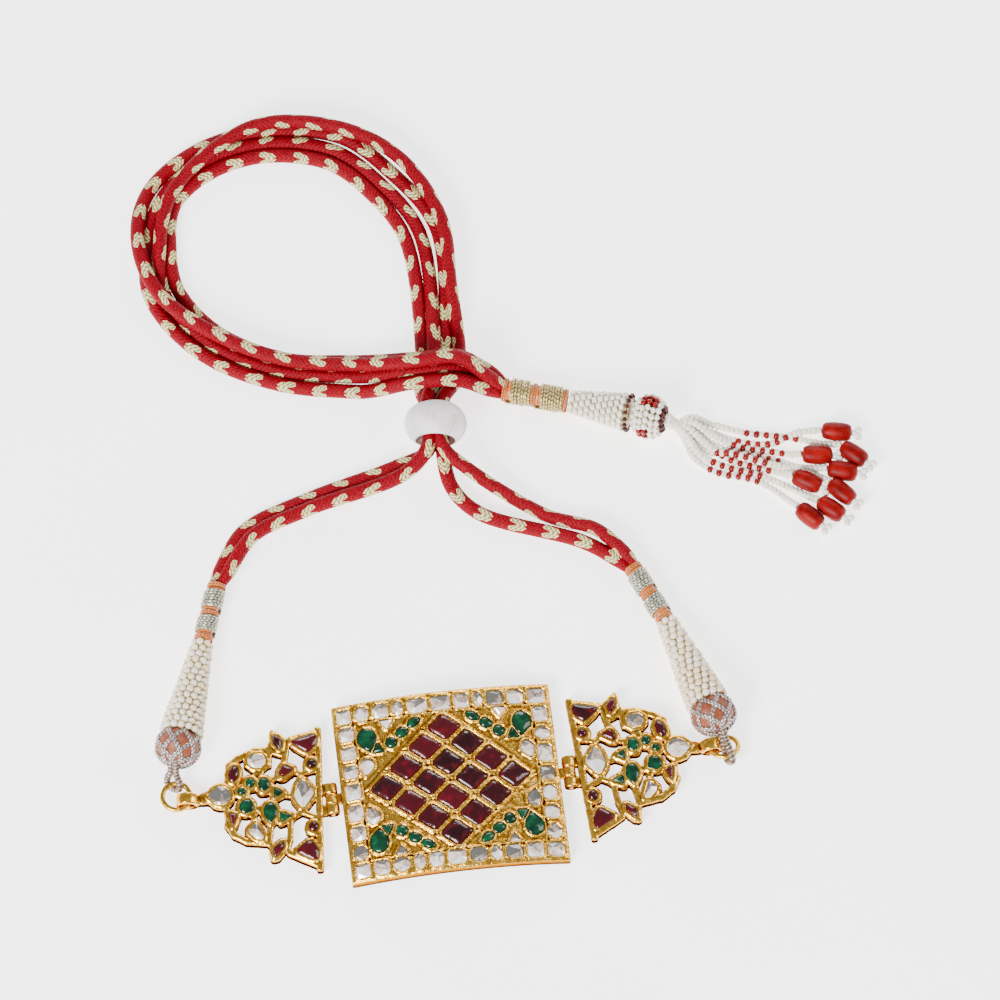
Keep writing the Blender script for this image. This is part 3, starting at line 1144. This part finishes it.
# Shares of a binding's line that its orange thread and its core take up, and how much shorter
# at either end the core of a wrap is
BOUND_FROM, BOUND_TO = 0.006, 0.985
CORE_SHARES, WRAP_CORE_INSET = (0.008, 0.985), 0.07


def wound_binding(name, start, end, radius, wraps, wrap_radius, wrap_thread, wrap_material, slot):
    """An orange binding whose bands show between tubes of wound metal thread"""
    bands = Piece(name + "_orange")
    core(bands, start, end, CORE_SHARES, (radius - ORANGE_D * 0.8,) * 2, 0)
    edges = [BOUND_FROM] + [edge for wrap in wraps for edge in wrap[1]] + [BOUND_TO]
    for low, high in zip(edges[::2], edges[1::2]):
        wind(bands, start, end, (low, high), radius, ORANGE_D)
    bands.dress([ORANGE], "orange_thread", name)
    for node, shares in wraps:
        piece = Piece(node + "_thread")
        core(piece, start, end, (shares[0] + WRAP_CORE_INSET, shares[1] - WRAP_CORE_INSET),
             (wrap_radius - wrap_thread * 0.8,) * 2, 0)
        wind(piece, start, end, shares, wrap_radius, wrap_thread)
        piece.dress([wrap_material], slot, node)


for side in ("left", "right"):
    wound_binding(side + "_binding", SLEEVE_END[side], BINDING_END[side], BINDING_R,
                  [(side + "_silver_lower", LOWER_SILVER), (side + "_silver_upper", UPPER_SILVER)],
                  SILVER_R, SILVER_D, SILVER, "silver_thread")
wound_binding("end_binding", END_START, END_FINISH, END_R,
              [("end_gold_first", FIRST_GOLD), ("end_gold_second", SECOND_GOLD)],
              END_GOLD_R, END_GOLD_D, PALE_GOLD, "gold_thread")


def ring_of_beads(piece, shape, middle, axis, radius, bead, phase, slots, draw, twist=0.0):
    """One ring of beads about an axis, each with its own small differences. A bead's hole lies
    along the axis, leant by twist"""
    turn = axes_along(axis)
    count = len(slots)
    for i, slot in enumerate(slots):
        angle = 2 * math.pi * (i + phase) / count
        out = turn @ np.array([math.cos(angle), math.sin(angle), 0])
        way = unit(np.asarray(axis) + twist * np.cross(out, axis))
        size = bead / 2 * draw.uniform(0.94, 1.05)
        place = middle + out * (radius + draw.uniform(-0.06, 0.06))
        piece.copy(shape, place, axes_along(way), size, slot, draw.uniform(0.5, 1))


PEARL_D = 1.7
PEARL_PITCH = 1.58
SLEEVE_INSET = 3.05
SLEEVE_R = (5.3, 2.8)
BEAD_D = 1.56


def pearl_sleeve(side, seed):
    """Seed pearls strung in close rows, narrowing from the knot ball to the binding"""
    draw = random.Random(seed)
    knot, end = np.array(KNOT[side]), np.array(SLEEVE_END[side])
    axis = unit(end - knot)
    first = SLEEVE_INSET + PEARL_D / 2
    last = np.linalg.norm(end - knot) - PEARL_D / 2
    rows = round((last - first) / PEARL_PITCH)
    piece = Piece(side + "_pearls")
    shape = ball_points(across=9, down=7)
    for row in range(rows + 1):
        share = row / rows
        at = first + share * (last - first)
        radius = SLEEVE_R[0] + share * (SLEEVE_R[1] - SLEEVE_R[0]) - PEARL_D / 2
        count = int(2 * math.pi * radius / (PEARL_D * 0.99))
        ring_of_beads(piece, shape, knot + axis * at, axis, radius, PEARL_D, 0.5 * (row % 2),
                      [0] * count, draw)
    inner = (SLEEVE_R[0] - PEARL_D * 0.8, SLEEVE_R[1] - PEARL_D * 0.8)
    core(piece, knot + axis * (first - 0.2), end, (0, 0.99), inner, 1)
    piece.dress([PEARL, STRINGING], "pearl", side + "_pearl_sleeve")


def wound_wall(across, between_poles, lat):
    """Radius and height on a wound ball at a latitude: round walls and flat poles"""
    wall = between_poles / 2
    return across / 2 - wall + wall * np.cos(lat), wall * np.sin(lat)


def globe(around, down, tip):
    """Latitudes and longitudes of a ball's points, with its poles left open by an angle"""
    lat = np.linspace(-math.pi / 2 + tip, math.pi / 2 - tip, down)[:, None]
    return lat, 2 * math.pi * np.arange(around)[None, :] / around


KNOT_D, KNOT_L = 11.0, 9.6
NET_BANDS = 7
NET_TWIST, NET_REACH = math.radians(115), math.radians(158)
# Half the turn between the two threads of a band, and their radius
PAIR_APART, NET_THREAD_R = 0.0525, 0.27
# How much less across than its solid a ball's silk is, and each layer of its net by the way that
# the layer twists
SILK_INSET, NET_INSETS = 0.8, {1: 0.62, -1: 0.5}
# A small turn that keeps the two balls from looking alike
NET_PHASE = {"left": 0.0, "right": 0.31}


def knot_ball(side):
    """A ball wound with terracotta silk and netted with pairs of silver threads"""
    middle = np.array(KNOT[side])
    turn = axes_along(np.array(SLEEVE_END[side]) - middle)
    ball = Piece(side + "_knot_silk")
    around, down = 72, 40
    lat, lon = globe(around, down, 0.001)
    r, z = wound_wall(KNOT_D - SILK_INSET, KNOT_L - SILK_INSET, lat)
    r = r + 0.05 * np.sin(38 * lat + 3 * lon)
    uv = np.stack(np.broadcast_arrays(lon / (2 * math.pi), 8 * lat), -1)
    ball.add(round_axis(r, lon, z, turn, middle), grid_faces(down, around), 0, uv)
    t = np.linspace(-0.5, 0.5, 40)
    lat = t * NET_REACH

    def plies(u, s):
        return 0.035 * np.sin(2 * math.pi * (2 * u + s / 0.8))

    for direction, inset in NET_INSETS.items():
        r, z = wound_wall(KNOT_D - inset, KNOT_L - inset, lat)
        for band in range(NET_BANDS):
            for apart in (-PAIR_APART, PAIR_APART):
                lon = (2 * math.pi * band / NET_BANDS + direction * NET_TWIST * t
                       + apart / np.maximum(np.cos(lat), 0.35) + NET_PHASE[side])
                ball.tube(round_axis(r, lon, z, turn, middle), NET_THREAD_R, 6, 1, plies)
    ball.dress([TERRACOTTA, BALL_SILVER], "orange_thread", side + "_knot_ball")


# A thread loop, as its solid has it: share of the way to the crossing, share of the full spread
LOOP_TABLE = [(0.3, 0), (0.52, 0.3), (0.75, 0.8), (0.93, 1), (1.1, 0.93), (1.21, 0.6)]
LOOP_D = 1.3
LOOP_NECK = LOOP_D / 2 + 0.1
LOOP_SPREAD = {"left": 1.9, "right": 1.5}
LOOP_TURN = {"left": math.radians(45), "right": math.radians(65)}
LOOP_SOCKET = 2.0
LOOP_TIP = LOOP_D / 2 + 0.5 + 0.25
# The even step along a loop, and how much fuller than its solid its thread is drawn
LOOP_STEP, LOOP_FULLER = 0.12, 0.17


def thread_loop(side):
    """A bight of wound silver thread from the knot ball round the ring's wire"""
    knot = np.array(KNOT[side])
    start = knot - unit(np.array(SLEEVE_END[side]) - knot) * KNOT_L / 2
    crossing = np.array(LOOP_CROSSING[side])
    reach = np.linalg.norm(crossing - start)
    heading = unit(crossing - start)
    level_way = unit(np.array([1.0, 0, 0]) - heading[0] * heading)
    steep_way = np.cross(heading, level_way)
    wide_way = math.cos(LOOP_TURN[side]) * level_way + math.sin(LOOP_TURN[side]) * steep_way
    down = [(start - heading * LOOP_SOCKET, LOOP_NECK), (start, LOOP_NECK)]
    for way, spread in LOOP_TABLE:
        down.append((start + heading * reach * way,
                     LOOP_NECK + spread * (LOOP_SPREAD[side] - LOOP_NECK)))
    tip = start + heading * (reach + LOOP_TIP)
    route = ([at - wide_way * out for at, out in down] + [tip]
             + [at + wide_way * out for at, out in down[::-1]])

    def plies(u, s):
        return 0.07 * np.sin(2 * math.pi * (u - s / 0.7)) - 0.05

    piece = Piece(side + "_loop_thread")
    piece.tube(rounded_route(route, LOOP_STEP), LOOP_D / 2 + LOOP_FULLER, 14, 0, plies)
    piece.dress([LOOP], "loop_thread", side + "_thread_loop")


BEAD_R, BEAD_WALL, BEAD_HOLE = 7.3, 4.65, 4.7


def slide_bead():
    """A ring wound thick with raw floss, which slides on the four cords"""
    draw = random.Random(21)
    turn = axes_along(BEAD_WAY)
    corner = math.acos((BEAD_HOLE - (BEAD_R - BEAD_WALL)) / BEAD_WALL)
    outer = np.linspace(-corner, corner, 40)
    profile = [(BEAD_R - BEAD_WALL + BEAD_WALL * math.cos(a), BEAD_WALL * math.sin(a))
               for a in outer]
    high = profile[-1][1]
    lip = 0.5
    inner = [(BEAD_HOLE + lip * (1 - math.sin(a)) * 0.4, (high - lip) * math.cos(a))
             for a in np.linspace(0.2, math.pi - 0.2, 16)]
    profile = np.array(profile + inner)
    around = 260
    u = np.arange(around) / around
    waves = [(draw.randint(30, 110), draw.uniform(0, 6.3), draw.uniform(-1.2, 1.2))
             for _ in range(9)]
    along = distance_along(profile)
    relief = sum(0.014 * np.sin(n * 2 * math.pi * u[None, :] + phase + lean * along[:, None] * 0.4)
                 for n, phase, lean in waves)
    relief = relief + 0.06 * np.sin(3 * 2 * math.pi * u[None, :] + along[:, None] * 0.5) - 0.12
    r = profile[:, :1] + np.where(np.arange(len(profile))[:, None] < len(outer), relief, 0)
    uv = np.stack(np.broadcast_arrays(u[None, :], along[:, None]), -1)
    piece = Piece("slide_bead_floss")
    piece.add(round_axis(r, 2 * math.pi * u, profile[:, 1:], turn, BEAD),
              grid_faces(len(profile), around, closed=True), 0, uv)
    return piece.dress([FLOSS], "floss", "slide_bead")


CONE_R = (2.95, 4.85)
CONE_INSET = 4.1
BALL_D, BALL_L = 10.9, 8.5
BEAD_PITCH = 1.34
# How wide the beads of the dark ring are, as a share of the white ones
DARK_SHARE = 0.75


def bead_cone():
    """White seed beads in close rings, and one ring of dark red where the ball sits in them"""
    draw = random.Random(5)
    start, ball = np.array(END_FINISH), np.array(END_BALL)
    axis = unit(ball - start)
    first = 0.5 + BEAD_D / 2
    last = np.linalg.norm(ball - start) - CONE_INSET - BEAD_D / 2
    rows = round((last - first) / BEAD_PITCH)
    piece = Piece("cone_beads")
    shape = ring_bead_points(across=9, round_it=6, hole=0.2, length=0.82)
    for row in range(rows + 1):
        share = row / rows
        radius = CONE_R[0] + share * (CONE_R[1] - CONE_R[0]) - BEAD_D / 2
        count = int(2 * math.pi * radius / (BEAD_D * 0.99))
        slot, wide = (1, BEAD_D * DARK_SHARE) if row == rows else (0, BEAD_D)
        ring_of_beads(piece, shape, start + axis * (first + share * (last - first)), axis, radius,
                      wide, 0.5 * (row % 2), [slot] * count, draw, 0.5)
    core(piece, start + axis * (first - 0.3), start + axis * (last + 0.2), (0, 1),
         (CONE_R[0] - 1.0, CONE_R[1] - 1.0), 2)
    piece.dress([WHITE_BEAD, DARK_BEAD, STRINGING], "seed_bead", "end_bead_cone")


# Longitude and latitude of the ball's flowers, and how far from its middle a flower's beads go
FLOWERS = [(2.1, 0.0), (4.2, 0.0), (6.15, -0.1)]
FLOWER_REACH = 0.36


def bead_ball():
    """A ball netted with white seed beads and red flowers, with dark red beads at its far end"""
    draw = random.Random(8)
    middle = np.array(END_BALL)
    axis = unit(middle - np.array(END_FINISH))
    turn = axes_along(axis)
    wall = BALL_L / 2 - BEAD_D / 2
    rows = round(math.pi * wall / BEAD_PITCH)
    piece = Piece("ball_beads")
    shape = ring_bead_points(across=9, round_it=6, hole=0.2, length=0.82)
    petals = [np.array([math.cos(lat) * math.cos(lon), math.cos(lat) * math.sin(lon),
                        math.sin(lat)]) for lon, lat in FLOWERS]
    for row in range(1, rows):
        lat = math.pi * row / rows - math.pi / 2
        r, z = wound_wall(BALL_D - BEAD_D, BALL_L - BEAD_D, lat)
        count = max(5, int(2 * math.pi * r / (BEAD_D * 0.98)))
        slots = []
        for i in range(count):
            lon = 2 * math.pi * (i + 0.5 * (row % 2)) / count
            out = unit([r * math.cos(lon), r * math.sin(lon), z])
            near = min(np.linalg.norm(out - petal) for petal in petals)
            slots.append(2 if row == rows - 1 else 1 if near < FLOWER_REACH else 0)
        ring_of_beads(piece, shape, middle + axis * z, axis, r, BEAD_D, 0.5 * (row % 2), slots,
                      draw, 0.7)
    around, down = 40, 24
    lat, lon = globe(around, down, 0.01)
    r, z = wound_wall(BALL_D - 2 * BEAD_D + 0.5, BALL_L - 2 * BEAD_D + 0.5, lat)
    piece.add(round_axis(r, lon, z, turn, middle), grid_faces(down, around), 3)
    piece.dress([WHITE_BEAD, RED_BEAD, DARK_BEAD, STRINGING], "seed_bead", "end_bead_ball")


# Corals: x, y, height and heading in degrees
CORALS = [(99, 75.8, 2.2, -12), (102.2, 69.8, 2.2, -42), (93.9, 70.6, 2.2, -10),
          (99.1, 66, 2.2, -17), (90.7, 64.4, 2.2, -32), (98.3, 60.9, 2.2, -47),
          (95.3, 57, 2.2, -42), (90.2, 55.8, 2.2, -47)]
# Strands of the tassel: their coral, the x where their red beads begin, and their points
TASSEL_HEAD = (61.77, 81.46, 4.39)
STRANDS = [
    (1, 77.5, [(66.1, 83, 3), (71.2, 81.2, 0.7), (77.7, 78.6, 0.7), (84.2, 77, 0.7),
               (89.6, 75.6, 0.7), (95.2, 73.6, 1.2)]),
    (0, 75.5, [(65.6, 82.4, 2.2), (70.3, 79.6, 0.7), (76.5, 76.4, 0.7), (83.3, 75, 0.7),
               (89.6, 76.6, 2.1)]),
    (2, 75.0, [(65.6, 81.7, 3.6), (70.8, 78.1, 1.9), (77.4, 74.7, 0.7), (84.2, 72.9, 0.7),
               (87.6, 71.9, 0.9)]),
    (3, 73.5, [(65.3, 81.1, 2.2), (70, 76.8, 0.7), (76.1, 73.4, 1.2), (83.3, 71.2, 0.7),
               (89.6, 68.4, 0.7)]),
    (4, 72.0, [(65, 80.4, 3.4), (68.6, 76.5, 2), (74.8, 71.7, 0.7), (80.8, 69.2, 0.7),
               (85, 67.5, 1)]),
    (5, 71.0, [(64.7, 79.9, 2.1), (67.8, 75.4, 0.7), (74.3, 73.2, 2.4), (82.2, 69.9, 2.1),
               (89.3, 67.7, 0.7), (93.2, 66, 0.9)]),
    (6, 69.5, [(64.1, 79.4, 3), (66.9, 74.2, 1.9), (73.1, 70.4, 0.7), (80.1, 67.6, 0.7),
               (86.1, 64, 0.7), (90, 61.4, 1)]),
    (7, 68.5, [(63.5, 79.2, 2), (65.9, 73.3, 0.7), (70.9, 69.2, 1.2), (77.9, 67, 0.7),
               (82.8, 63.7, 0.7), (85.6, 60.9, 1)])]
CORAL_L, CORAL_D = 6.8, 4.5
# A coral's barrel: share of the way from its middle to its end, share of its width
BARREL = [(-1.0, 0.16), (-0.99, 0.5), (-0.95, 0.68), (-0.86, 0.81), (-0.7, 0.91), (-0.45, 0.97),
          (-0.15, 1.0), (0.15, 1.0), (0.45, 0.97), (0.7, 0.91), (0.86, 0.81), (0.95, 0.68),
          (0.99, 0.5), (1.0, 0.16)]
STRAND_BEAD, STRAND_D, STOP_R = 1.15, 1.85, 0.85
RED_BEADS = 6


def way_of(heading):
    """The direction of a heading in degrees, level with the floor"""
    return np.array([math.cos(math.radians(heading)), math.sin(math.radians(heading)), 0])


def tassel():
    """Strands of seed beads, white with six red ones, each to a coral that small beads stop"""
    draw = random.Random(13)
    piece = Piece("tassel_beads")
    shape = ring_bead_points(across=10, round_it=8, hole=0.2, length=0.62)
    stop = ball_points(across=10, down=8)
    axis = unit(np.array(END_BALL) - END_FINISH)
    pole = np.array(END_BALL) + axis * (BALL_L / 2 + 0.3)
    across = axes_along(axis)
    for coral, red_from, points in STRANDS:
        x, y, z, heading = CORALS[coral]
        way = way_of(heading)
        at = np.array([x, y, z])
        angle = 2 * math.pi * coral / len(STRANDS)
        off = across @ np.array([math.cos(angle), math.sin(angle), 0])
        start = [pole + 0.95 * off, np.array(TASSEL_HEAD) + 0.6 * off]
        line = rounded_route(start + points + [at - way * (CORAL_L / 2 + 0.6)], STRAND_BEAD)
        line[:, 2] = np.maximum(line[:, 2], STRAND_D / 2 + 0.02)
        ways = np.gradient(line, axis=0)
        reds = 0
        for i in range(len(line)):
            red = line[i][0] >= red_from and reds < 2 * RED_BEADS and reds % 2 == 0
            reds += 1 if line[i][0] >= red_from else 0
            lean = ways[i] + np.array([draw.uniform(-0.12, 0.12) for _ in range(3)])
            piece.copy(shape, line[i], axes_along(lean), STRAND_D / 2 * draw.uniform(0.95, 1.06),
                       1 if red else 0, draw.uniform(0.5, 1))
        aside = np.array([-way[1], way[0], 0])
        for ahead, off in ((0.55, 0.0), (1.65, 0.8), (1.75, -0.78)):
            place = at + way * (CORAL_L / 2 + ahead) + aside * off
            piece.copy(stop, place, axes_along(way), STOP_R, 0, draw.uniform(0.8, 1))
        piece.tube(even_line(np.vstack([line, [at + way * (CORAL_L / 2 + 1.2)]]), 0.8), 0.2, 6, 2)
    piece.dress([WHITE_BEAD, RED_BEAD, STRINGING], "seed_bead", "tassel")


def corals():
    """Coral barrels, each a little different, at the ends of the strands"""
    draw = random.Random(17)
    piece = Piece("coral_barrels")
    for x, y, z, heading in CORALS:
        way = way_of(heading)
        half = CORAL_L / 2 * draw.uniform(1.0, 1.03)
        lean = draw.uniform(-0.04, 0.04)
        line = [np.array([x, y, z]) + way * half * share for share, _ in BARREL]
        wide = [CORAL_D / 2 * (out + lean * share) for share, out in BARREL]
        phase = draw.uniform(0, 6)

        def worn(u, s):
            return 0.05 * np.sin(2 * math.pi * 2 * u + phase) + 0.02 * np.sin(3 * s + phase)

        piece.tube(line, wide, 36, 0, worn)
    piece.dress([CORAL], "coral", *[f"coral_bead_{i + 1}" for i in range(len(CORALS))])


pearl_sleeve("left", 3)
pearl_sleeve("right", 4)
for side in ("left", "right"):
    knot_ball(side)
    thread_loop(side)
floss_bead = slide_bead()
bead_cone()
bead_ball()
tassel()
corals()


# Camera, lights and floor

CAMERA_WAY = Vector((-0.0430, -0.3558, 0.9336)).normalized()
CAMERA_RIGHT = Vector((0.9928, -0.1201, 0.0))
CAMERA_TARGET = Vector((0.0197, 0.0685, 0.0017))
CAMERA_DISTANCE = 4.0
SENSOR = 36.0
FRAME_WIDTH = 0.231


def set_camera():
    """A long lens, from where the photograph was taken"""
    data = bpy.data.cameras.new("camera")
    data.sensor_width = SENSOR
    data.lens = SENSOR * CAMERA_DISTANCE / FRAME_WIDTH
    data.clip_end = 10.0
    made = bpy.data.objects.new("camera", data)
    right = (CAMERA_RIGHT - CAMERA_WAY * CAMERA_RIGHT.dot(CAMERA_WAY)).normalized()
    up = CAMERA_WAY.cross(right)
    turn = Matrix((right, up, CAMERA_WAY)).transposed().to_4x4()
    made.matrix_world = Matrix.Translation(CAMERA_TARGET + CAMERA_WAY * CAMERA_DISTANCE) @ turn
    bpy.context.scene.collection.objects.link(made)
    bpy.context.scene.camera = made


def add_light(name, place, aim, size, power):
    """A rectangular soft light that is aimed at a place"""
    data = bpy.data.lights.new(name, "AREA")
    data.shape = "RECTANGLE"
    data.size, data.size_y = size
    data.energy = power
    made = bpy.data.objects.new(name, data)
    made.location = place
    made.rotation_euler = (Vector(aim) - Vector(place)).to_track_quat("-Z", "Y").to_euler()
    bpy.context.scene.collection.objects.link(made)


def set_floor():
    """A plain pale sweep of card under the piece"""
    mesh = bpy.data.meshes.new("studio_floor")
    half = 3.0
    mesh.from_pydata([(-half, -half, 0), (half, -half, 0), (half, half, 0), (-half, half, 0)],
                     [], [(0, 1, 2, 3)])
    material, tree, shader, at = new_material("matt_white_card", Roughness=0.9,
                                              Emission_Strength=2.4,
                                              Emission_Color=linear("#ffffff"))
    cloud = add_node(tree, "TexNoise", Vector=at, Scale=0.02 / MM, Detail=2.0, Roughness=0.5)
    card = add_node(tree, "ValToRGB", Fac=cloud, stops=[(0.3, "#f4f4f3"), (0.7, "#fbfbfa")])
    feed(tree, shader, Base_Color=card)
    mesh.materials.append(material)
    made = bpy.data.objects.new("studio_floor", mesh)
    made.location = (0.02, 0.07, -0.0002)
    bpy.context.scene.collection.objects.link(made)


set_camera()
set_floor()
add_light("front_left_softbox", (-0.75, -0.85, 0.95), (0.0, 0.05, 0.0), (0.6, 0.6), 51.0)
add_light("rear_softbox", (0.2, 1.25, 0.65), (0.02, 0.05, 0.0), (0.9, 0.4), 12.0)
add_light("right_softbox", (1.2, 0.1, 0.8), (0.03, 0.05, 0.0), (0.5, 0.8), 10.0)
world = bpy.data.worlds.new("studio")
world.use_nodes = True
world.node_tree.nodes["Background"].inputs[0].default_value = linear("#f2f3f5")
world.node_tree.nodes["Background"].inputs[1].default_value = 0.36
bpy.context.scene.world = world
